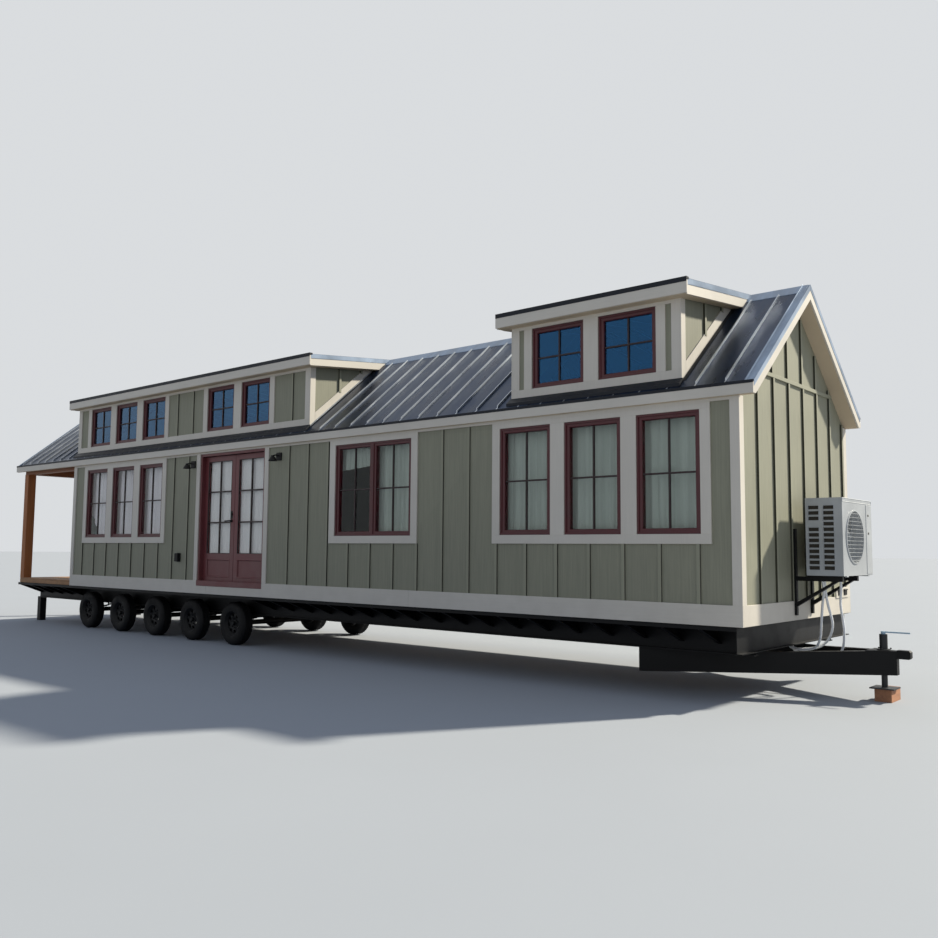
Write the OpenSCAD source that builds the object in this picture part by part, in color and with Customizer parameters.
/* [House body] */
// Length of the house body over its end boards
body_l = 12840; // [12600:10:13400]
// Width of the house body over its side boards
body_w = 3040; // [2800:10:3300]
// Thickness of a wall without its trim
wall_t = 112; // [90:1:150]
// Thickness of the trim boards
trim_t = 19; // [12:1:25]
// Height of the lower edge of the skirt board above the ground
skirt_z = 758; // [740:1:800]
// Height of the skirt board
skirt_h = 198; // [150:1:240]
// Thickness of the floor
floor_t = 118; // [90:1:140]
// Height of the eave soffit above the ground
eave_z = 2934; // [2920:1:3000]
// Width of the corner boards
corner_w = 97; // [70:1:120]
// Height of the frieze board under the soffit
frieze_h = 34; // [20:1:60]

/* [Roof] */
// Rise of the main roof for each unit of run
pitch = 0.814; // [0.78:0.002:0.85]
// Rise of a dormer roof for each unit of run
dormer_pitch = 0.111; // [0.1:0.001:0.12]
// Overhang of the eaves past the side walls
eave_out = 45; // [30:1:80]
// Overhang of the roof past the tongue end wall
rake_out = 160; // [100:1:220]
// Height of the eave fascia
fascia_h = 96; // [70:1:120]
// Thickness of the metal roof edge over the fascia
edge_t = 10; // [6:1:16]
// Width of each wing of the ridge cap
cap_w = 130; // [80:1:160]
// Thickness of the ridge cap
cap_t = 6; // [4:1:10]
// Place of one standing seam along the body, from which the others are counted
seam_x = 6835; // [6700:1:6950]
// Distance from one standing seam to the next
seam_pitch = 309; // [280:1:460]
// Distance of a standing seam's foot behind the eave's edge
seam_start = 40; // [20:1:80]
// Height of a standing seam over the roof
seam_h = 25; // [15:1:40]
// Thickness of a standing seam
seam_t = 12; // [8:1:16]

/* [Dormers] */
// Place of the dormer front wall behind the body's side
dormer_in = 105; // [90:1:140]
// Thickness of the dormer walls
dormer_t = 95; // [70:1:110]
// Start of the long dormer along the body
long_x0 = -60; // [-90:1:-20]
// Length of the long dormer
long_l = 6565; // [6400:5:6650]
// Distance of the short dormer from the tongue end
short_in = 647; // [560:1:700]
// Length of the short dormer
short_l = 2108; // [2050:1:2200]
// Overhang of the dormer roofs past their side walls
dormer_out = 150; // [100:1:200]
// Height of the dormer fascia
dormer_fascia_h = 128; // [100:1:150]

/* [Windows] */
// Width of a lower window frame
win_w = 700; // [600:5:740]
// Distance from one lower window to the next in a row
win_pitch = 882; // [860:1:900]
// Height of the lower windows' sill line
win_z = 1626; // [1500:1:1700]
// Height of a lower window
win_h = 1211; // [1000:1:1240]
// Middle of the left row of three windows
row_left_x = 1729; // [1700:1:1800]
// Middle of the window pair
pair_x = 7873; // [7800:1:8000]
// Distance of the right row's middle from the tongue end
row_right_in = 1639; // [1600:1:1690]
// Width of a dormer window frame
dwin_w = 692; // [600:2:700]
// Distance from one dormer window to the next in a row
dwin_pitch = 876; // [850:1:900]
// Distance of the dormer windows' heads under the dormer soffit
dwin_drop = 40; // [25:1:60]
// Height of a dormer window
dwin_h = 690; // [600:1:700]
// Middle of the dormer row of three windows
drow_x = 1605; // [1550:1:1650]
// Middle of the dormer window pair
dpair_x = 4823; // [4780:1:4860]
// Width of a window frame's members
frame_w = 58; // [40:1:75]
// Depth of a window frame
frame_d = 80; // [60:1:90]
// Distance of a window frame's face behind the trim's face
frame_in = 12; // [4:1:18]
// Thickness of the glass
glass_t = 8; // [5:1:12]
// Width of the trim beside the windows
case_w = 108; // [80:1:120]
// Depth of the trim under the windows
sill_w = 97; // [80:1:120]
// Depth of a curtain's folds
fold_d = 40; // [25:1:60]
// Distance of a curtain's edges from the window frame's outer edges
curtain_in = 20; // [10:1:40]
// Reach of a curtain below the window
curtain_drop = 60; // [20:1:120]
// Depth of the folds of a curtain on a door leaf
door_fold_d = 24; // [15:1:30]
// Reach of a door's curtain past its glass
door_curtain_over = 25; // [10:1:40]

/* [Doors] */
// Left edge of the doorway
door_x0 = 4027; // [4000:1:4060]
// Width of the doorway
door_w = 1622; // [1500:1:1660]
// Top of the doorway above the ground
door_top = 2906; // [2860:1:2912]
// Width of the door frame's members
jamb_w = 38; // [30:1:50]
// Thickness of a door leaf
leaf_t = 44; // [38:1:50]
// Gap round each door leaf
leaf_gap = 7; // [5:0.5:8]
// Width of a leaf's stiles and top rail
stile_w = 116; // [90:1:130]
// Height of the glass's lower edge above the leaf's foot
glass_up = 474; // [420:1:520]
// Width of the trim beside the doorway
door_case_w = 90; // [70:1:110]
// Height of the recessed panel's lower edge above the leaf's foot
panel_up = 90; // [70:1:120]
// Height of the recessed panel
panel_h = 280; // [220:1:300]
// Depth of the recessed panel
panel_in = 8; // [4:1:12]
// Height of the door lever above the leaf's foot
lever_up = 944; // [880:1:1000]
// Distance of the door lever's spindle from the leaf's meeting edge
lever_in = 60; // [50:1:70]
// Length of the door lever's grip
grip_l = 125; // [100:1:140]
// Radius of a hinge knuckle
knuckle_r = 7; // [6:0.5:9]
// Radius of a hinge pin
hinge_pin_r = 3.5; // [3:0.25:4]
// Length of a hinge
hinge_h = 100; // [80:1:120]

/* [Porch] */
// Length of the porch deck
deck_l = 2110; // [1900:10:2200]
// Thickness of the porch deck
deck_t = 92; // [70:1:110]
// Distance of the deck's edge inside the body's side
deck_in = 50; // [40:1:80]
// Overhang of the porch roof past the deck
porch_rake = 179; // [120:1:220]
// Thickness of a porch post
post_w = 150; // [120:1:180]
// Height of the porch header's lower edge
header_z = 2880; // [2800:1:2900]
// Width of the door onto the porch
porch_door_w = 915; // [760:5:1000]
// Height of the door onto the porch
porch_door_h = 2030; // [1900:5:2050]

/* [Chassis] */
// Depth of the main beams
beam_h = 302; // [280:1:306]
// Width of the main beams' flanges
beam_w = 100; // [80:1:120]
// Thickness of the main beams' flanges
flange_t = 12; // [8:1:16]
// Thickness of the main beams' webs
web_t = 8; // [6:1:12]
// Distance of the main beams' outer edges inside the body's side
beam_in = 420; // [410:1:460]
// Spacing of the outriggers
rigger_pitch = 412; // [380:1:450]
// Depth of an outrigger at the main beam
rigger_root = 212; // [180:1:230]
// Depth of an outrigger at its tip
rigger_tip = 44; // [30:1:60]
// Thickness of the outrigger plates
plate_t = 6; // [4:1:8]
// Width of an outrigger's folded lower flange
rigger_flange = 46; // [30:1:60]
// Depth of the outriggers over the wheels
rigger_over_tyre = 54; // [48:1:80]
// Space before the first outrigger and the porch end
rigger_start = 60; // [30:1:120]
// Depth of a cross member
cross_h = 140; // [120:1:200]
// Width of a cross member's flanges
cross_w = 60; // [40:1:80]
// Outriggers from one cross member to the next
cross_every = 3; // [2:1:4]
// Depth of the channel across the tongue end
end_h = 255; // [220:1:280]
// Width of its flanges
end_w = 60; // [40:1:80]
// Thickness of the channels' webs and flanges
channel_t = 8; // [6:1:10]
// Thickness of a rear leg
leg_w = 120; // [90:1:140]

/* [Wheels] */
// Outside diameter of a tyre
tyre_d = 650; // [600:2:680]
// Width of a tyre
tyre_w = 190; // [170:1:200]
// Diameter of a wheel rim
rim_d = 370; // [340:1:400]
// Distance of the tyres' outer faces inside the body's side
tyre_in = 205; // [195:1:215]
// Place of the first axle behind the porch end wall
axle_x = 290; // [250:1:340]
// Distance from axle to axle
axle_pitch = 1095; // [1050:1:1100]
// Radius of an axle tube
axle_r = 38; // [32:1:45]
// Radius of a wheel spindle
spindle_r = 28; // [22:1:32]
// Running clearance of a spindle in its hub
spindle_gap = 0.05; // [0.02:0.01:0.1]
// Space between a tyre and the deep outriggers
tyre_room = 78; // [50:1:120]
// Distance between the eyes of a leaf spring
spring_l = 660; // [600:5:720]
// Width of a leaf spring
spring_w = 60; // [50:1:70]
// Thickness of one spring leaf
spring_t = 8; // [6:1:10]
// Radius of the main spring leaf's curve
spring_r = 1400; // [1300:10:1600]

/* [Tongue] */
// Place of the tongue's tip past the tongue end wall
tongue_out = 920; // [860:5:1000]
// Depth of the tongue beams under the body
tongue_h = 250; // [220:1:260]
// Depth of the tongue beams at the tip
tongue_tip_h = 225; // [200:1:240]
// Height of the tongue's upper face at the tip
tongue_top = 490; // [470:1:510]
// Length of the level stretch behind the tip
tongue_flat = 300; // [260:5:400]
// Width of the tongue beams' flanges
tongue_t = 70; // [60:1:90]
// Thickness of the tongue beams' webs
tongue_web = 10; // [8:1:14]
// Width of the tongue's nose
nose_w = 80; // [76:1:100]
// Thickness of the plate over the nose
nose_plate_t = 10; // [8:1:14]
// Length of the plate over the nose
nose_plate_l = 260; // [240:1:300]
// Length of the tongue beams under the body
tongue_in = 1340; // [1200:10:1500]
// Length of the coupler past the tongue's tip
coupler_out = 125; // [100:1:150]
// Height of the coupler
coupler_h = 84; // [70:1:100]
// Width of the coupler
coupler_w = 76; // [60:1:90]
// Rise of the coupler's top over the tongue
coupler_up = 18; // [14:1:24]
// Distance of the jack behind the tongue's tip
jack_in = 130; // [110:1:160]
// Radius of the jack's outer tube
jack_r = 38; // [34:1:40]
// Radius of the jack's inner tube
jack_in_r = 29; // [24:1:31]
// Height of the jack's head above the ground
jack_top = 655; // [640:1:700]
// Radius of the jack's flange
jack_flange_r = 64; // [55:1:75]
// Length of the jack's leg
leg_l = 330; // [280:1:340]
// Width of the jack's foot plate
foot_w = 230; // [180:1:240]
// Thickness of the jack's foot plate
foot_t = 12; // [8:1:16]
// Length of the jack's crank
crank_l = 250; // [200:1:260]
// Height of the wooden block under the jack
block_h = 125; // [100:1:150]
// Length of the wooden block across the tongue
block_l = 300; // [240:5:340]
// Width of the wooden block along the tongue
block_w = 160; // [140:1:180]
// Distance of the wooden block's middle from the tongue's middle
block_shift = 80; // [40:1:90]

/* [Cooling unit] */
// Width of the unit across the tongue end
unit_w = 930; // [850:5:980]
// Depth of the unit
unit_d = 370; // [320:5:400]
// Height of the unit
unit_h = 790; // [700:5:820]
// Height of the unit's base above the ground
unit_z = 1222; // [1180:1:1260]
// Distance of the unit's back from the end wall's trim
unit_gap = 140; // [100:1:180]
// Place of the unit's left side across the tongue end
unit_y = 1260; // [1200:5:1300]
// Depth of the fan well
fan_well = 160; // [140:1:200]
// Radius of the fan's shaft
fan_shaft_r = 8; // [6:0.5:12]
// Radius of the fan opening
fan_r = 262; // [230:1:275]
// Place of the fan's axis across the unit
fan_in = 372; // [340:1:400]
// Radius of the fan's hub
fan_hub_r = 70; // [50:1:80]
// Length of the fan's hub
fan_hub_l = 80; // [60:1:90]
// Tilt of the fan blades
blade_tilt = 24; // [15:1:30]
// Thickness of a fan blade
blade_t = 4; // [3:0.5:6]
// Spacing of the fan guard's bars
guard_pitch = 40; // [30:1:60]
// Thickness of the fan guard's bars
guard_t = 4; // [3:0.5:6]
// Rows of louvre slots on the unit's side
louvre_rows = 12; // [8:1:14]
// Depth of a louvre slot
louvre_d = 14; // [8:1:20]
// Height of the unit's feet
unit_foot_h = 12; // [8:1:20]
// Thickness of the bracket's bars
bracket_w = 45; // [35:1:60]
// Thickness of the bracket's wall bars
bracket_t = 25; // [15:1:35]
// Distance between the two brackets
bracket_pitch = 460; // [400:1:520]
// Height of the bracket's lower end above the ground
bracket_z = 810; // [780:1:900]
// Height of the bracket's wall bars
bracket_h = 890; // [700:1:900]
// Radius of the hoses
hose_r = 13; // [9:0.5:16]

/* [Fittings] */
// Reach of a wall lamp in front of the trim
lamp_out = 165; // [140:1:190]
// Height of a wall lamp's plate
lamp_z = 2760; // [2700:1:2800]
// Distance of the left lamp from the doorway
lamp_left = 197; // [150:1:260]
// Distance of the right lamp from the doorway
lamp_right = 318; // [200:1:340]
// Width of a lamp's wall plate
lamp_plate = 110; // [90:1:130]
// Radius of a lamp's hood at its mouth
hood_r = 62; // [50:1:70]
// Height of a lamp's hood
hood_h = 80; // [60:1:100]
// Distance of the outlet cover from the doorway
outlet_in = 482; // [440:1:540]
// Height of the outlet cover's foot above the ground
outlet_z = 1240; // [1150:1:1300]

/* [Hidden] */

steel = "#1c1e20";
siding = "#7c7d68";
beige = "#cfc8ba";
roof_metal = "#2b2d2f";
red = "#6e3a34";
dark_red = "#5c2a26";
glass = "#9fb4bd";
black = "#161616";
cedar = "#9a6238";
white = "#dcdcd6";
cloth = "#e9e7e0";

seat_gap = 0.3;
cut = 20;
wheel_count = 5;
mid_y = body_w / 2;
floor_z = skirt_z + floor_t;
wall_in = trim_t + wall_t;
long_x1 = long_x0 + long_l;
short_x1 = body_l - short_in;
short_x0 = short_x1 - short_l;
row_right_x = body_l - row_right_in;
roof_edge_z = eave_z + fascia_h + edge_t;
ridge_z = roof_edge_z + (mid_y + eave_out) * pitch;
roof_v = roof_edge_z + (trim_t + eave_out) * pitch - eave_z;
roof_x0 = -deck_l - porch_rake;
roof_x1 = body_l + rake_out;
dormer_edge_z = ridge_z - (mid_y + eave_out) * dormer_pitch;
dormer_soffit_z = dormer_edge_z - dormer_fascia_h - edge_t;
dormer_v = dormer_edge_z + (dormer_in + eave_out) * dormer_pitch - dormer_soffit_z;
dormer_meet_y = (dormer_edge_z - dormer_v - roof_edge_z) / (pitch - dormer_pitch) - eave_out;
dormer_over = dormer_out - trim_t;
dwin_z = dormer_soffit_z - dwin_drop - dwin_h;
roof_front_y = trim_t - eave_out;
ridge_joint_y = mid_y - seat_gap / 2;
seam_foot_y = roof_front_y + seam_start;
seam_top_y = mid_y - cap_w;
seam_dormer_y = dormer_meet_y - (seam_h + 2 * seat_gap) / (pitch - dormer_pitch);
beam_z = skirt_z - beam_h;
beam_mid = beam_in + beam_w / 2;
end_x = body_l - trim_t - end_w;
cross_pitch = cross_every * rigger_pitch;
rail_y = trim_t + plate_t;
tongue_z = beam_z - tongue_h;
tongue_tip_x = body_l + tongue_out;
tongue_tip_z = tongue_top - tongue_tip_h;
tongue_start = [body_l - tongue_in, beam_in + cut];
tongue_tip = [tongue_tip_x, mid_y - nose_w / 2];
tongue_run = norm(tongue_tip - tongue_start);
tongue_turn = atan2(tongue_tip[1] - tongue_start[1], tongue_tip[0] - tongue_start[0]);
coupler_x = tongue_tip_x + coupler_out;
coupler_z = tongue_top + coupler_up - coupler_h;
jack_x = tongue_tip_x - jack_in;
axle_z = tyre_d / 2;
hub_y = tyre_in + tyre_w;
hinge_x0 = door_x0 + jamb_w + leaf_gap / 2;
hinge_x1 = door_x0 + door_w - jamb_w - leaf_gap / 2;
hinge_y = wall_in + knuckle_r;
hinge_third = hinge_h / 3;
plate_out = knuckle_r + 1;
plate_reach = 26;
hinge_plate_t = 2.5;
leaf_y = wall_in - leaf_t;
leaf_z = floor_z + jamb_w + leaf_gap;
leaf_h = door_top - jamb_w - leaf_gap - leaf_z;
leaf_w = (door_w - 2 * jamb_w - 3 * leaf_gap) / 2;
leaf_glass_w = leaf_w - 2 * stile_w;
leaf_glass_h = leaf_h - stile_w - glass_up;
porch_pane_w = porch_door_w - 2 * stile_w - 2 * jamb_w;
porch_pane_h = porch_door_h - glass_up - stile_w - 2 * jamb_w;
unit_x = body_l + unit_gap;
fan_x = unit_x + unit_d - fan_well;
bearing_l = 30;
x_mid = (roof_x0 + coupler_x) / 2;
y_mid = (body_w + eave_out - lamp_out) / 2;
$fn = 48;

// The hoses' routes, from the end of the body: down from the case, under the end member and up to the floor
hose_top = unit_z - seat_gap;
hose_end = skirt_z - seat_gap;
hose_sides = 10;
hose_routes = [
  [[170, 1600, hose_top], [190, 1600, 1060], [172, 1600, 900], [155, 1600, 700], [140, 1600, 560],
   [95, 1600, 470], [0, 1600, 440], [-120, 1600, 436], [-190, 1600, 470], [-215, 1600, 560],
   [-215, 1600, hose_end]],
  [[185, 1650, hose_top], [190, 1650, 1060], [215, 1650, 900], [255, 1650, 730], [235, 1650, 610],
   [180, 1650, 520], [80, 1650, 460], [-120, 1650, 436], [-190, 1650, 470], [-215, 1650, 560],
   [-215, 1650, hose_end]],
  [[330, 1700, hose_top], [335, 1700, 1090], [325, 1700, 920], [345, 1700, 760], [355, 1700, 640],
   [340, 1700, 480], [280, 1700, 400], [160, 1700, 370], [-120, 1700, 390], [-190, 1700, 450],
   [-215, 1700, 560], [-215, 1700, hose_end]]];

function roof_top(y) = roof_edge_z + (y + eave_out) * pitch;
function roof_under(y) = roof_top(y) - roof_v;
function wall_top(y) = roof_under(y) - seat_gap;
function dormer_top(y) = dormer_edge_z + (y + eave_out) * dormer_pitch;
function dormer_under(y) = dormer_top(y) - dormer_v;
function row_start(mid, count, gap, w) = mid - ((count - 1) * gap + w) / 2;
function row(mid, count, gap, w) = [for (i = [0 : count - 1]) row_start(mid, count, gap, w) + i * gap];
function seams(x0, x1) = [
  for (k = [ceil((x0 + seam_t - seam_x) / seam_pitch) : floor((x1 - seam_t - seam_x) / seam_pitch)])
    seam_x + k * seam_pitch];
function hinge_places() = [for (share = [0.1, 0.47, 0.84]) leaf_z + leaf_h * share];

row_left = row(row_left_x, 3, win_pitch, win_w);
row_pair = row(pair_x, 2, win_w, win_w);
row_right = row(row_right_x, 3, win_pitch, win_w);
lower_windows = concat(row_left, row_pair, row_right);
long_windows = concat(row(drow_x, 3, dwin_pitch, dwin_w), row(dpair_x, 2, dwin_pitch, dwin_w));
short_windows = row((short_x0 + short_x1) / 2, 2, dwin_pitch, dwin_w);

// Puts the body's own frame into the part's frame, centred over the ground
module placed() translate([-x_mid, -y_mid, 0]) children();

// Copies a shape to the far side of the body
module both_sides() {
  children();
  far_side() children();
}
module far_side() translate([0, body_w, 0]) mirror([0, 1, 0]) children();

// Extrudes an outline drawn in the YZ plane along the body
module along(x0, x1) translate([x0, 0, 0]) rotate([90, 0, 90]) linear_extrude(x1 - x0) children();

// A bar in the YZ plane's outline that runs up a slope from y0 to y1
module slope_bar(x0, x1, y0, y1, z0, z1, h) along(x0, x1)
  polygon([[y0, z0], [y1, z1], [y1, z1 + h], [y0, z0 + h]]);

module block(low, high) translate(low) cube(high - low);

// Chassis

module i_beam(x0, x1) along(x0, x1) {
  translate([beam_in, beam_z]) square([beam_w, flange_t]);
  translate([beam_in, skirt_z - flange_t]) square([beam_w, flange_t]);
  translate([beam_mid - web_t / 2, beam_z]) square([web_t, beam_h]);
}
module main_beams() color(steel) placed() both_sides() i_beam(-deck_l, end_x);

// A channel that runs along +Y with its flanges towards +X
module channel(l, w, h) {
  cube([channel_t, l, h]);
  cube([w, l, channel_t]);
  translate([0, 0, h - channel_t]) cube([w, l, channel_t]);
}
module cross_members() color(steel) placed() {
  web_y = beam_mid + web_t / 2;
  for (i = [0 : floor((end_x + deck_l) / cross_pitch) - 1])
    translate([-deck_l + (i + 0.5) * cross_pitch, web_y, skirt_z - flange_t - cross_h])
      channel(body_w - 2 * web_y, cross_w, cross_h);
  translate([end_x, trim_t, skirt_z - end_h]) channel(body_w - 2 * trim_t, end_w, end_h);
}

// Tapered plate from a main beam's web out to the rail, with a folded lower flange
module outrigger(x, root) {
  tip_y = rail_y + seat_gap;
  web_y = beam_mid - web_t / 2;
  along(x, x + plate_t) polygon([
    [tip_y, skirt_z], [tip_y, skirt_z - rigger_tip], [web_y, skirt_z - root],
    [web_y, skirt_z - flange_t], [beam_in, skirt_z - flange_t], [beam_in, skirt_z]]);
  slope_bar(x, x + rigger_flange, tip_y, web_y, skirt_z - rigger_tip, skirt_z - root, plate_t);
}
module outriggers() color(steel) placed() both_sides() {
  wheels_x0 = axle_x - tyre_d / 2 - tyre_room;
  wheels_x1 = axle_x + (wheel_count - 1) * axle_pitch + tyre_d / 2 + tyre_room;
  for (i = [0 : floor((end_x + deck_l - rigger_start - rigger_flange) / rigger_pitch)]) {
    x = -deck_l + rigger_start + i * rigger_pitch;
    outrigger(x, x > wheels_x0 && x < wheels_x1 ? rigger_over_tyre : rigger_root);
  }
  block([-deck_l, trim_t, skirt_z - rigger_tip], [end_x - seat_gap, rail_y, skirt_z]);
}
module rear_legs() color(steel) placed() both_sides() translate([-deck_l, beam_in, 0]) {
  cube([leg_w, leg_w, beam_z]);
}

// Tongue, coupler and jack

// Puts a shape drawn from a tongue beam's start, running along +X, in its place
module at_tongue() translate([tongue_start[0], tongue_start[1], 0]) rotate([0, 0, tongue_turn]) children();
module tongue_plate(t, points) translate([0, t, 0]) rotate([90, 0, 0]) linear_extrude(t) polygon(points);
module tongue_beam() {
  body_s = tongue_run * tongue_in / (tongue_in + tongue_out);
  flat_s = tongue_run - tongue_flat;
  low = [[0, tongue_z], [tongue_run, tongue_tip_z]];
  high = [[tongue_run, tongue_top], [flat_s, tongue_top], [body_s, beam_z], [0, beam_z]];
  lift = [0, flange_t];
  tongue_plate(tongue_web, concat(low, high));
  tongue_plate(tongue_t, concat(low, [low[1] + lift, low[0] + lift]));
  tongue_plate(tongue_t, concat(high, [for (i = [3 : -1 : 0]) high[i] - lift]));
}
module tongue_beams() color(steel) placed() {
  both_sides() difference() {
    at_tongue() tongue_beam();
    block([body_l, mid_y - nose_w / 2 - seat_gap, 0], [coupler_x, body_w, 2 * tongue_top]);
    block([tongue_tip_x, 0, 0], [coupler_x + cut, mid_y, 2 * tongue_top]);
  }
  block([jack_x + jack_r + cut, mid_y - nose_w / 2, tongue_tip_z],
        [tongue_tip_x, mid_y + nose_w / 2, tongue_top]);
  difference() {
    nose_plate();
    translate([jack_x, mid_y, 0]) cylinder(h = 2 * tongue_top, r = jack_r);
  }
}
// The plate that ties the two beams at the nose, cut to their outer edges
module nose_plate() {
  x0 = tongue_tip_x - nose_plate_l;
  wide = nose_w / 2 + nose_plate_l * tan(tongue_turn);
  translate([0, 0, tongue_top]) linear_extrude(nose_plate_t) polygon([
    [x0, mid_y - wide], [tongue_tip_x, mid_y - nose_w / 2],
    [tongue_tip_x, mid_y + nose_w / 2], [x0, mid_y + wide]]);
}
module coupler() color(steel) placed() {
  chamfer = coupler_h / 6;
  z1 = coupler_z + coupler_h;
  translate([0, mid_y + coupler_w / 2, 0]) rotate([90, 0, 0]) linear_extrude(coupler_w) polygon([
    [tongue_tip_x, coupler_z], [coupler_x - chamfer, coupler_z], [coupler_x, coupler_z + chamfer],
    [coupler_x, z1 - chamfer], [coupler_x - chamfer, z1], [tongue_tip_x, z1]]);
}
module at_jack() placed() translate([jack_x, mid_y, 0]) children();
module jack_tube() color(steel) at_jack() {
  cap_t = 20;
  difference() {
    union() {
      translate([0, 0, tongue_tip_z]) cylinder(h = jack_top - tongue_tip_z, r = jack_r);
      translate([0, 0, tongue_top + nose_plate_t]) cylinder(h = nose_plate_t, r = jack_flange_r);
    }
    translate([0, 0, tongue_tip_z - cut])
      cylinder(h = jack_top - tongue_tip_z - cap_t + cut, r = jack_in_r + spindle_gap);
  }
}
module jack_leg() color(steel) at_jack() translate([0, 0, block_h + seat_gap]) {
  translate([0, 0, foot_t]) cylinder(h = leg_l, r = jack_in_r);
  translate([-foot_w / 2, -foot_w / 2, 0]) cube([foot_w, foot_w, foot_t]);
}
module jack_crank() color("#8fa6b4") at_jack() translate([0, 0, jack_top + seat_gap]) {
  bar_w = 22;
  bar_t = 14;
  cylinder(h = bar_t, r = bar_w);
  translate([0, 0, bar_t]) cylinder(h = bar_t, r = bar_w);
  translate([0, -bar_w / 2, bar_t]) cube([crank_l - bar_w / 2, bar_w, bar_t]);
  translate([crank_l - bar_w / 2, 0, bar_t]) cylinder(h = bar_t, r = bar_w / 2);
}
module jack_block() color("#9c5a34") at_jack()
  translate([-block_w / 2, block_shift - block_l / 2, 0]) cube([block_w, block_l, block_h]);

// Running gear

module at_axle(i) translate([axle_x + i * axle_pitch, 0, axle_z]) children();
module axles() color(steel) placed() for (i = [0 : wheel_count - 1]) at_axle(i) {
  spindle_l = tyre_w * 0.58;
  translate([0, hub_y, 0]) rotate([-90, 0, 0]) cylinder(h = body_w - 2 * hub_y, r = axle_r);
  translate([0, hub_y - spindle_l, 0]) rotate([-90, 0, 0])
    cylinder(h = body_w - 2 * hub_y + 2 * spindle_l, r = spindle_r);
  both_sides() translate([0, beam_mid - spring_w / 2, 0]) leaf_spring();
}
// Three leaves over the axle tube, curved up to eyes that hang from the main beam
module leaf_spring() {
  leaves = 3;
  seat = axle_r + spring_t;
  bow_z = seat + leaves * spring_t + spring_r;
  eye_z = bow_z - sqrt(pow(spring_r, 2) - pow(spring_l / 2, 2)) - spring_t / 2;
  eye_r = 1.75 * spring_t;
  translate([-1.4 * axle_r, 0, 0]) cube([2.8 * axle_r, spring_w, seat + spring_t]);
  for (i = [0 : leaves - 1]) intersection() {
    translate([0, spring_w, bow_z]) rotate([90, 0, 0]) difference() {
      cylinder(h = spring_w, r = spring_r + (i + 1) * spring_t, $fn = 360);
      translate([0, 0, -cut]) cylinder(h = spring_w + 2 * cut, r = spring_r + i * spring_t, $fn = 360);
    }
    leaf_l = spring_l * (1 - 0.25 * i);
    translate([-leaf_l / 2, 0, 0]) cube([leaf_l, spring_w, spring_r / 2]);
  }
  for (side = [-1, 1]) translate([side * spring_l / 2, 0, eye_z]) {
    translate([0, spring_w, 0]) rotate([90, 0, 0]) cylinder(h = spring_w, r = eye_r);
    for (y = [-spring_t, spring_w])
      translate([-eye_r, y, -eye_r]) cube([2 * eye_r, spring_t, beam_z - axle_z - eye_z + eye_r]);
  }
}
// Half the section of a tyre and wheel, as distance from the axis and depth behind the outer face
module wheel_profile() {
  r = tyre_d / 2;
  rim = rim_d / 2;
  shoulder = 34;
  rim_lip = 12;
  rim_t = 8;
  disc_y = 70;
  disc_t = 22;
  boss_r = 52;
  cap_r = 44;
  drop = 30;
  polygon([
    [rim, rim_lip], [rim + 18, 2], [r - 40, 0], [r - rim_lip, 14], [r, shoulder], [r, tyre_w - shoulder],
    [r - rim_lip, tyre_w - 14], [r - 40, tyre_w], [rim + 18, tyre_w - 2], [rim, tyre_w - rim_lip]]);
  polygon([
    [spindle_r + spindle_gap, disc_y], [spindle_r + spindle_gap, tyre_w - seat_gap],
    [boss_r, tyre_w - seat_gap], [boss_r, disc_y + disc_t], [rim - drop, disc_y + disc_t],
    [rim - rim_t, tyre_w - rim_lip], [rim, tyre_w - rim_lip], [rim, rim_lip], [rim - rim_t, rim_lip],
    [rim - drop, disc_y + rim_t], [boss_r, disc_y]]);
  translate([0, disc_y - 18]) square([cap_r, 18]);
}
module wheel(i) translate([axle_x + (i - 1) * axle_pitch, tyre_in, axle_z])
  rotate([-90, 0, 0]) rotate_extrude($fn = 72) wheel_profile();
module wheel_front(i) color(black) placed() wheel(i);
module wheel_rear(i) color(black) placed() far_side() wheel(i);

// Floor, deck and skirt

module floor_slab() color("#8d7b63") placed()
  block([trim_t, trim_t, skirt_z], [body_l - trim_t, body_w - trim_t, floor_z]);
module porch_deck() color("#7a5233") placed()
  block([-deck_l, deck_in, skirt_z], [0, body_w - deck_in, skirt_z + deck_t]);
module skirt_boards() color(beige) placed() {
  both_sides() block([0, 0, skirt_z], [body_l, trim_t, skirt_z + skirt_h]);
  block([body_l - trim_t, trim_t + seat_gap, skirt_z],
        [body_l, body_w - trim_t - seat_gap, skirt_z + skirt_h]);
}

// Walls

module side_wall(x0, x1, low) along(x0, x1)
  polygon([[trim_t, low], [wall_in, low], [wall_in, wall_top(wall_in)], [trim_t, wall_top(trim_t)]]);
module window_cuts(places, w, z, h, y, t)
  for (x = places) translate([x, y - cut, z]) cube([w, t + 2 * cut, h]);
module lower_cuts() window_cuts(lower_windows, win_w, win_z, win_h, 0, wall_in);
module front_wall_left() color(siding) placed() difference() {
  side_wall(trim_t, door_x0, floor_z);
  lower_cuts();
}
module front_wall_right() color(siding) placed() difference() {
  side_wall(door_x0 + door_w, body_l - trim_t, floor_z);
  lower_cuts();
}
module front_wall_over_door() color(siding) placed() side_wall(door_x0, door_x0 + door_w, door_top);
module rear_wall() color(siding) placed() far_side() difference() {
  side_wall(trim_t, body_l - trim_t, floor_z);
  lower_cuts();
}
module end_wall(x0) along(x0, x0 + wall_t) polygon([
  [wall_in, floor_z], [body_w - wall_in, floor_z], [body_w - wall_in, wall_top(wall_in)],
  [mid_y, wall_top(mid_y)], [wall_in, wall_top(wall_in)]]);
module tongue_end_wall() color(siding) placed() end_wall(body_l - wall_in);
module porch_end_wall() color(siding) placed() difference() {
  end_wall(trim_t);
  translate([0, mid_y - porch_door_w / 2, floor_z - cut])
    cube([2 * wall_in, porch_door_w, porch_door_h + cut]);
}

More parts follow.
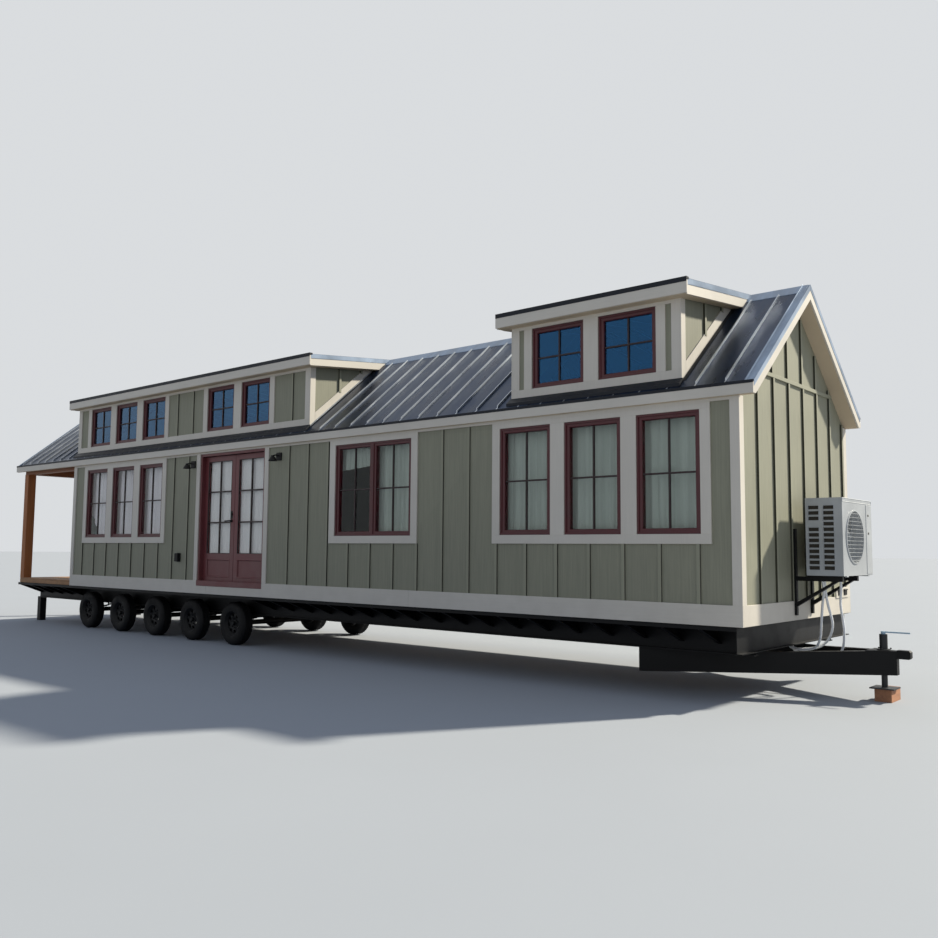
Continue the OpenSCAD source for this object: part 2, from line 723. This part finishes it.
// Main roof, laid in bays with standing seams

module slope_seams(places, y1) for (x = places)
  slope_bar(x - seam_t / 2, x + seam_t / 2, seam_foot_y, y1, roof_top(seam_foot_y), roof_top(y1), seam_h);
// A bay between two places along the body, its upper edge outlined by the given points
module roof_bay(x0, x1, upper) along(x0 + seat_gap / 2, x1 - seat_gap / 2)
  polygon(concat([[trim_t, eave_z], [roof_front_y, eave_z], [roof_front_y, roof_top(roof_front_y)]], upper));
module open_bay(x0, x1) {
  roof_bay(x0, x1, [[ridge_joint_y, roof_top(ridge_joint_y)], [ridge_joint_y, roof_under(ridge_joint_y)]]);
  slope_seams(seams(x0, x1), seam_top_y);
}
module bay_under_dormer(x0, x1, seam_x0, seam_x1) {
  notch_y = dormer_meet_y - seat_gap / (pitch - dormer_pitch);
  roof_bay(x0, x1, [
    [notch_y, roof_top(notch_y)], [ridge_joint_y, dormer_under(ridge_joint_y) - seat_gap],
    [ridge_joint_y, roof_under(ridge_joint_y)]]);
  slope_seams(seams(seam_x0, seam_x1), seam_dormer_y);
}
module bay_before_dormer(x0, x1) {
  back_y = dormer_in + dormer_t;
  roof_bay(x0, x1, [[back_y, roof_top(back_y)], [back_y, roof_under(back_y)]]);
}
module dormer_bays(x0, x1, well_x0, well_x1) {
  bay_under_dormer(x0 - dormer_over, well_x0, x0 - dormer_over, x0);
  bay_before_dormer(well_x0, well_x1);
  bay_under_dormer(well_x1, x1 + dormer_over, x1, x1 + dormer_over);
}
module roof_slope() {
  open_bay(roof_x0 + trim_t, long_x0 - dormer_over);
  dormer_bays(long_x0, long_x1, wall_in, long_x1 - dormer_t);
  open_bay(long_x1 + dormer_over, short_x0 - dormer_over);
  dormer_bays(short_x0, short_x1, short_x0 + dormer_t, short_x1 - dormer_t);
  open_bay(short_x1 + dormer_over, roof_x1 - trim_t);
}
module roof_front() color(roof_metal) placed() roof_slope();
module roof_rear() color(roof_metal) placed() far_side() roof_slope();

module cap_piece(x0, x1, slope) along(x0, x1) {
  top_z = ridge_z + seat_gap;
  drop = cap_w * slope;
  polygon([
    [mid_y - cap_w, top_z - drop], [mid_y, top_z], [mid_y + cap_w, top_z - drop],
    [mid_y + cap_w, top_z - drop + cap_t], [mid_y, top_z + cap_t], [mid_y - cap_w, top_z - drop + cap_t]]);
}
module ridge_cap() color(roof_metal) placed() {
  cap_piece(roof_x0 + trim_t, long_x0 - dormer_over, pitch);
  cap_piece(long_x0 - dormer_over, long_x1 + dormer_over, dormer_pitch);
  cap_piece(long_x1 + dormer_over, short_x0 - dormer_over, pitch);
  cap_piece(short_x0 - dormer_over, short_x1 + dormer_over, dormer_pitch);
  cap_piece(short_x1 + dormer_over, roof_x1 - trim_t, pitch);
}
module rake(x0) along(x0, x0 + trim_t) polygon([
  [-eave_out, eave_z], [-eave_out, roof_top(-eave_out) - edge_t], [mid_y, ridge_z - edge_t],
  [mid_y, roof_under(mid_y)], [trim_t, eave_z]]);
module eave_trim() color(beige) placed() both_sides() {
  block([roof_x0 + trim_t, -eave_out, eave_z], [roof_x1 - trim_t, roof_front_y, eave_z + fascia_h]);
  rake(roof_x0);
  rake(roof_x1 - trim_t);
}

// Dormers

module dormer_front(x0, x1, places) difference() {
  back_y = dormer_in + dormer_t;
  along(x0, x1) polygon([
    [dormer_in, roof_top(dormer_in) + seat_gap], [back_y, roof_top(back_y) + seat_gap],
    [back_y, dormer_under(back_y) - seat_gap], [dormer_in, dormer_under(dormer_in) - seat_gap]]);
  window_cuts(places, dwin_w, dwin_z, dwin_h, dormer_in, dormer_t);
}
module dormer_cheek(x) {
  front_y = dormer_in + dormer_t + seat_gap;
  point_y = dormer_meet_y - 2 * seat_gap / (pitch - dormer_pitch);
  along(x, x + dormer_t) polygon([
    [front_y, roof_top(front_y) + seat_gap], [point_y, roof_top(point_y) + seat_gap],
    [front_y, dormer_under(front_y) - seat_gap]]);
}
module dormer_walls() {
  dormer_front(long_x0, long_x1, long_windows);
  dormer_front(short_x0, short_x1, short_windows);
  for (x = [long_x0, long_x1 - dormer_t, short_x0, short_x1 - dormer_t]) dormer_cheek(x);
}
module dormer_walls_front() color(siding) placed() dormer_walls();
module dormer_walls_rear() color(siding) placed() far_side() dormer_walls();
module dormer_roof(x0, x1) {
  along(x0, x1) polygon([
    [roof_front_y, dormer_soffit_z], [roof_front_y, dormer_top(roof_front_y)],
    [ridge_joint_y, dormer_top(ridge_joint_y)], [ridge_joint_y, dormer_under(ridge_joint_y)],
    [dormer_in, dormer_soffit_z]]);
  for (x = seams(x0, x1)) slope_bar(x - seam_t / 2, x + seam_t / 2, seam_foot_y, seam_top_y,
    dormer_top(seam_foot_y), dormer_top(seam_top_y), seam_h);
}
module dormer_roofs() color(roof_metal) placed() both_sides() {
  dormer_roof(long_x0 - dormer_over, long_x1 + dormer_over);
  dormer_roof(short_x0 - dormer_over, short_x1 + dormer_over);
}
module dormer_edge(x0, x1)
  block([x0 - dormer_out, -eave_out, dormer_soffit_z],
        [x1 + dormer_out, roof_front_y, dormer_soffit_z + dormer_fascia_h]);
module dormer_trim() color(beige) placed() both_sides() {
  dormer_edge(long_x0, long_x1);
  dormer_edge(short_x0, short_x1);
}

// Boards round the walls and windows

module corner_boards() color(beige) placed() both_sides() {
  low = skirt_z + skirt_h;
  block([0, 0, low], [corner_w, trim_t, eave_z]);
  block([body_l - corner_w, 0, low], [body_l, trim_t, eave_z]);
  block([body_l - trim_t, trim_t, low], [body_l, corner_w, eave_z]);
  block([0, trim_t, low], [trim_t, corner_w, eave_z]);
  block([corner_w, 0, eave_z - frieze_h], [door_x0 - door_case_w, trim_t, eave_z]);
  block([door_x0 + door_w + door_case_w, 0, eave_z - frieze_h], [body_l - corner_w, trim_t, eave_z]);
}
module casing(places) difference() {
  low = [places[0] - case_w, 0, win_z - sill_w];
  high = [places[len(places) - 1] + win_w + case_w, trim_t, eave_z - frieze_h];
  block(low, high);
  window_cuts(places, win_w, win_z, win_h, 0, trim_t);
}
module window_trim() color(beige) placed() both_sides() for (places = [row_left, row_pair, row_right])
  casing(places);
module frame_ring(w, h) difference() {
  cube([w, frame_d, h]);
  translate([frame_w, -cut, frame_w]) cube([w - 2 * frame_w, frame_d + 2 * cut, h - 2 * frame_w]);
}
module window_frames() color(dark_red) placed() both_sides() {
  for (x = lower_windows) translate([x, frame_in, win_z]) frame_ring(win_w, win_h);
  for (x = concat(long_windows, short_windows)) translate([x, dormer_in, dwin_z]) frame_ring(dwin_w, dwin_h);
}
module pane(w, h) translate([frame_w, frame_d / 2, frame_w])
  cube([w - 2 * frame_w, glass_t, h - 2 * frame_w]);
module side_panes() both_sides() {
  for (x = lower_windows) translate([x, frame_in, win_z]) pane(win_w, win_h);
  for (x = concat(long_windows, short_windows)) translate([x, dormer_in, dwin_z]) pane(dwin_w, dwin_h);
}
module porch_pane()
  translate([trim_t + (wall_t - glass_t) / 2, mid_y - porch_pane_w / 2, floor_z + glass_up + jamb_w])
  cube([glass_t, porch_pane_w, porch_pane_h]);
module window_glass() color(glass) placed() {
  side_panes();
  porch_pane();
}

// Doors

module door_frame() color(red) placed() {
  block([door_x0, trim_t, floor_z], [door_x0 + jamb_w, wall_in, door_top]);
  block([door_x0 + door_w - jamb_w, trim_t, floor_z], [door_x0 + door_w, wall_in, door_top]);
  block([door_x0 + jamb_w, trim_t, door_top - jamb_w], [door_x0 + door_w - jamb_w, wall_in, door_top]);
  block([door_x0 + jamb_w, trim_t, floor_z], [door_x0 + door_w - jamb_w, wall_in, floor_z + jamb_w]);
  for (z = hinge_places()) {
    translate([hinge_x0, hinge_y, z]) jamb_half();
    translate([hinge_x1, hinge_y, z]) mirror([1, 0, 0]) jamb_half();
  }
}
// The half of a hinge that is fixed to the jamb: two knuckles, the pin and its plate
module jamb_half() {
  knuckle_l = hinge_third - seat_gap;
  cylinder(h = hinge_h, r = hinge_pin_r);
  for (z = [0, 2 * hinge_third + seat_gap]) translate([0, 0, z]) {
    cylinder(h = knuckle_l, r = knuckle_r);
    translate([-plate_out, -knuckle_r, 0]) cube([plate_out, hinge_plate_t, knuckle_l]);
  }
  translate([-plate_out - plate_reach, -knuckle_r, 0]) cube([plate_reach, hinge_plate_t, hinge_h]);
}
// The half of a hinge that turns with the leaf: one knuckle round the pin and its plate
module leaf_half() {
  translate([0, 0, hinge_third]) difference() {
    union() {
      cylinder(h = hinge_third, r = knuckle_r);
      translate([0, -knuckle_r, 0]) cube([plate_out, hinge_plate_t, hinge_third]);
    }
    translate([0, 0, -cut]) cylinder(h = hinge_h + 2 * cut, r = hinge_pin_r + spindle_gap);
  }
  translate([plate_out, -knuckle_r, 0]) cube([plate_reach, hinge_plate_t, hinge_h]);
}
// A door leaf drawn from its hinge axis, reaching along +X
module leaf() {
  face_y = -knuckle_r - leaf_t;
  pane_x = leaf_gap / 2 + stile_w;
  difference() {
    translate([leaf_gap / 2, face_y, leaf_z]) cube([leaf_w, leaf_t, leaf_h]);
    translate([pane_x, face_y - cut, leaf_z + glass_up]) cube([leaf_glass_w, leaf_t + 2 * cut, leaf_glass_h]);
    translate([pane_x, face_y - cut, leaf_z + panel_up]) cube([leaf_glass_w, cut + panel_in, panel_h]);
  }
  for (z = hinge_places()) translate([0, 0, z]) leaf_half();
}
module leaf_glass()
  translate([leaf_gap / 2 + stile_w, -knuckle_r - (leaf_t + glass_t) / 2, leaf_z + glass_up])
  cube([leaf_glass_w, glass_t, leaf_glass_h]);
module at_left_hinge() translate([hinge_x0, hinge_y, 0]) children();
module at_right_hinge() translate([hinge_x1, hinge_y, 0]) mirror([1, 0, 0]) children();
module door_leaf_left() color(red) placed() at_left_hinge() leaf();
module door_leaf_right() color(red) placed() at_right_hinge() leaf();
module door_glass_left() color(glass) placed() at_left_hinge() leaf_glass();
module door_glass_right() color(glass) placed() at_right_hinge() leaf_glass();
module door_lever() color(black) placed()
  translate([hinge_x0 + leaf_gap / 2 + leaf_w - lever_in, leaf_y - seat_gap, leaf_z + lever_up])
  rotate([90, 0, 0]) {
    rose_r = 26;
    neck_r = 9;
    neck_l = 50;
    grip_t = 12;
    cylinder(h = 10, r = rose_r);
    cylinder(h = neck_l, r = neck_r);
    translate([-grip_l, -neck_r, neck_l - grip_t]) cube([grip_l + neck_r, 2 * neck_r, grip_t]);
    translate([-grip_l, 0, neck_l - grip_t]) cylinder(h = grip_t, r = neck_r);
  }

// Fittings on the walls

// A square wall plate, a bent arm and an open flared hood
module wall_lamp(x) translate([x, trim_t, lamp_z]) {
  plate_d = 22;
  arm = 18;
  hood_y = hood_r - lamp_out - trim_t;
  neck_r = hood_r * 0.42;
  shell = 3;
  translate([-lamp_plate / 2, -plate_d, -lamp_plate / 2]) cube([lamp_plate, plate_d, lamp_plate]);
  translate([-arm / 2, hood_y, -arm / 2]) cube([arm, -hood_y, arm]);
  translate([0, hood_y, arm / 2 - hood_h]) rotate_extrude() polygon([
    [0, hood_h], [neck_r, hood_h], [neck_r, hood_h * 0.7], [hood_r, shell], [hood_r, 0],
    [hood_r - shell, 0], [neck_r - shell, hood_h * 0.7], [0, hood_h * 0.7]]);
}
module outlet_cover() translate([door_x0 - outlet_in - 90, trim_t - 60, outlet_z]) cube([90, 60, 130]);
module wall_fittings() color(black) placed() {
  wall_lamp(door_x0 - lamp_left);
  wall_lamp(door_x0 + door_w + lamp_right);
  outlet_cover();
}

// Porch

module porch_door() color(red) placed() translate([trim_t, mid_y - porch_door_w / 2, floor_z]) difference() {
  cube([wall_t, porch_door_w, porch_door_h]);
  translate([-cut, stile_w + jamb_w, glass_up + jamb_w])
    cube([wall_t + 2 * cut, porch_pane_w, porch_pane_h]);
}
module porch_posts() color(cedar) placed() both_sides()
  block([-deck_l, deck_in, skirt_z + deck_t], [-deck_l + post_w, deck_in + post_w, header_z]);
module porch_header() color(cedar) placed() {
  y0 = deck_in + seat_gap * 30;
  y1 = deck_in + post_w - seat_gap * 30;
  both_sides() along(-deck_l, 0)
    polygon([[y0, header_z], [y1, header_z], [y1, wall_top(y1)], [y0, wall_top(y0)]]);
  block([-deck_l, y1, header_z], [-deck_l + post_w, body_w - y1, wall_top(y1)]);
}

// Cooling unit on the tongue end

module at_unit() translate([unit_x, unit_y, unit_z]) children();
// The case with its fan well, and two columns of slots on the side towards the doors
module unit_case() color(white) placed() at_unit() difference() {
  cube([unit_d, unit_w, unit_h]);
  translate([unit_d - fan_well, fan_in, unit_h / 2]) rotate([0, 90, 0]) difference() {
    cylinder(h = fan_well + cut, r = fan_r);
    cylinder(h = fan_well - 2 * cut, r = fan_shaft_r);
    cylinder(h = bearing_l, r = fan_hub_r * 0.85);
  }
  louvre_slots();
}
module louvre_slots() {
  margin = 30;
  corner = 85;
  between = 45;
  w = (unit_d - margin - corner - between) / 2;
  pitch_z = (unit_h - 4 * margin) / louvre_rows;
  for (column = [0, 1], i = [0 : louvre_rows - 1])
    if (column == 1 || i != louvre_rows - 4)
      translate([margin + column * (w + between), -cut, 2 * margin + i * pitch_z])
        cube([w, cut + louvre_d, pitch_z * 0.66]);
}
module at_fan() translate([fan_x, unit_y + fan_in, unit_z + unit_h / 2]) rotate([0, 90, 0]) children();
// A sector of a flat plate, tilted about its own arm
module fan_blade() {
  reach = fan_r - 16;
  inner = fan_hub_r * 0.8;
  spread = 26;
  translate([0, 0, fan_hub_l / 2]) rotate([blade_tilt, 0, 0]) translate([0, 0, -blade_t / 2])
    linear_extrude(blade_t) polygon([
      [inner, -inner * tan(spread)], for (a = [-spread : 8 : spread]) reach * [cos(a), sin(a)],
      [inner, inner * tan(spread)]]);
}
module unit_fan() color("#3a3d40") placed() at_fan() translate([0, 0, bearing_l + seat_gap]) difference() {
  union() {
    cylinder(h = fan_hub_l, r = fan_hub_r);
    for (a = [0 : 120 : 240]) rotate(a) fan_blade();
  }
  translate([0, 0, -cut]) cylinder(h = fan_well + cut, r = fan_shaft_r + spindle_gap);
}
// A square mesh of bars inside a ring, over the fan's opening
module unit_grille() color(white) placed() translate([unit_x + unit_d, unit_y + fan_in, unit_z + unit_h / 2])
  rotate([0, 90, 0]) {
    ring_w = 14;
    bars = floor((fan_r - ring_w) / guard_pitch);
    difference() {
      cylinder(h = 2 * guard_t, r = fan_r);
      translate([0, 0, -cut]) cylinder(h = 2 * cut, r = fan_r - ring_w);
    }
    for (i = [-bars : bars]) {
      half = sqrt(pow(fan_r - ring_w / 2, 2) - pow(i * guard_pitch, 2));
      translate([i * guard_pitch - guard_t / 2, -half, 0]) cube([guard_t, 2 * half, guard_t]);
      translate([-half, i * guard_pitch - guard_t / 2, 0]) cube([2 * half, guard_t, guard_t]);
    }
  }
module unit_bracket() color(black) placed() {
  arm_z = unit_z - unit_foot_h - bracket_w;
  arm_l = unit_gap + unit_d - cut;
  first = unit_y + cut;
  for (y = [first, first + bracket_pitch]) translate([body_l, y, 0]) {
    translate([0, 0, bracket_z]) cube([bracket_t, bracket_w, bracket_h]);
    translate([0, 0, arm_z]) cube([arm_l, bracket_w, bracket_w]);
    rotate([90, 0, 0]) translate([0, 0, -bracket_w]) linear_extrude(bracket_w) polygon([
      [bracket_t, bracket_z + 2 * bracket_w], [bracket_t, bracket_z + 3 * bracket_w],
      [arm_l - 2 * bracket_w, arm_z], [arm_l - bracket_w, arm_z]]);
    translate([unit_gap, 0, arm_z + bracket_w]) cube([arm_l - unit_gap, bracket_w, unit_foot_h]);
  }
}
// A point on the smooth curve that runs from b to c, between their neighbours a and d
function bend(a, b, c, d, t) = b + (c - a) * t / 2 + (2 * a - 5 * b + 4 * c - d) * pow(t, 2) / 2
  + (3 * b - a - 3 * c + d) * pow(t, 3) / 2;
function smooth_route(p) = let(last = len(p) - 1) concat([
  for (i = [0 : last - 1], t = [0, 0.5]) bend(p[max(i - 1, 0)], p[i], p[i + 1], p[min(i + 2, last)], t)],
  [p[last]]);
// The way that a route runs at one of its points, upright at both ends
function way(p, i) = let(last = len(p) - 1, run = p[min(i + 1, last)] - p[max(i - 1, 0)])
  i == 0 ? [0, 0, -1] : i == last ? [0, 0, 1] : run / norm(run);
function hose_ring(p, i) = let(across = cross(way(p, i), [0, 1, 0])) [
  for (k = [0 : hose_sides - 1]) let(turn = 360 * k / hose_sides)
    p[i] + hose_r * (cos(turn) * [0, 1, 0] + sin(turn) * across)];
function hose_wall(i, k) = let(
  a = i * hose_sides + k, b = i * hose_sides + (k + 1) % hose_sides, c = b + hose_sides, d = a + hose_sides)
  [[a, c, b], [a, d, c]];
module hose(route) {
  path = smooth_route(route);
  last = len(path) - 1;
  start_cap = [for (k = [0 : hose_sides - 1]) k];
  end_cap = [for (k = [hose_sides - 1 : -1 : 0]) last * hose_sides + k];
  walls = [for (i = [0 : last - 1], k = [0 : hose_sides - 1]) each hose_wall(i, k)];
  polyhedron(points = [for (i = [0 : last]) each hose_ring(path, i)],
             faces = concat([start_cap, end_cap], walls));
}
module unit_lines() color(white) placed() for (route = hose_routes)
  hose([for (point = route) point + [body_l, 0, 0]]);

// Curtains behind the lower windows and on the backs of the door leaves

module door_curtain() translate([leaf_gap / 2 + stile_w - door_curtain_over, seat_gap - knuckle_r,
                                  leaf_z + glass_up - door_curtain_over])
  cube([leaf_glass_w + 2 * door_curtain_over, door_fold_d, leaf_glass_h + 2 * door_curtain_over]);
module door_curtain_left() color(cloth) placed() at_left_hinge() door_curtain();
module door_curtain_right() color(cloth) placed() at_right_hinge() door_curtain();
module curtains() color(cloth) placed() both_sides() for (x = lower_windows)
  translate([x + curtain_in, wall_in + seat_gap, win_z - curtain_drop])
    cube([win_w - 2 * curtain_in, fold_d, win_h + curtain_drop]);

main_beams();
cross_members();
outriggers();
tongue_beams();
coupler();
jack_tube();
jack_leg();
jack_crank();
jack_block();
rear_legs();
axles();
wheel_front(1);  // wheel_front_1
wheel_front(2);  // wheel_front_2
wheel_front(3);  // wheel_front_3
wheel_front(4);  // wheel_front_4
wheel_front(5);  // wheel_front_5
wheel_rear(1);  // wheel_rear_1
wheel_rear(2);  // wheel_rear_2
wheel_rear(3);  // wheel_rear_3
wheel_rear(4);  // wheel_rear_4
wheel_rear(5);  // wheel_rear_5
floor_slab();
porch_deck();
skirt_boards();
front_wall_left();
front_wall_right();
front_wall_over_door();
rear_wall();
tongue_end_wall();
porch_end_wall();
roof_front();
roof_rear();
ridge_cap();
eave_trim();
dormer_walls_front();
dormer_walls_rear();
dormer_roofs();
dormer_trim();
corner_boards();
window_trim();
window_frames();
window_glass();
door_frame();
door_leaf_left();
door_leaf_right();
door_glass_left();
door_glass_right();
door_lever();
porch_door();
wall_fittings();
porch_posts();
porch_header();
unit_case();
unit_fan();
unit_grille();
unit_bracket();
unit_lines();
curtains();
door_curtain_left();
door_curtain_right();
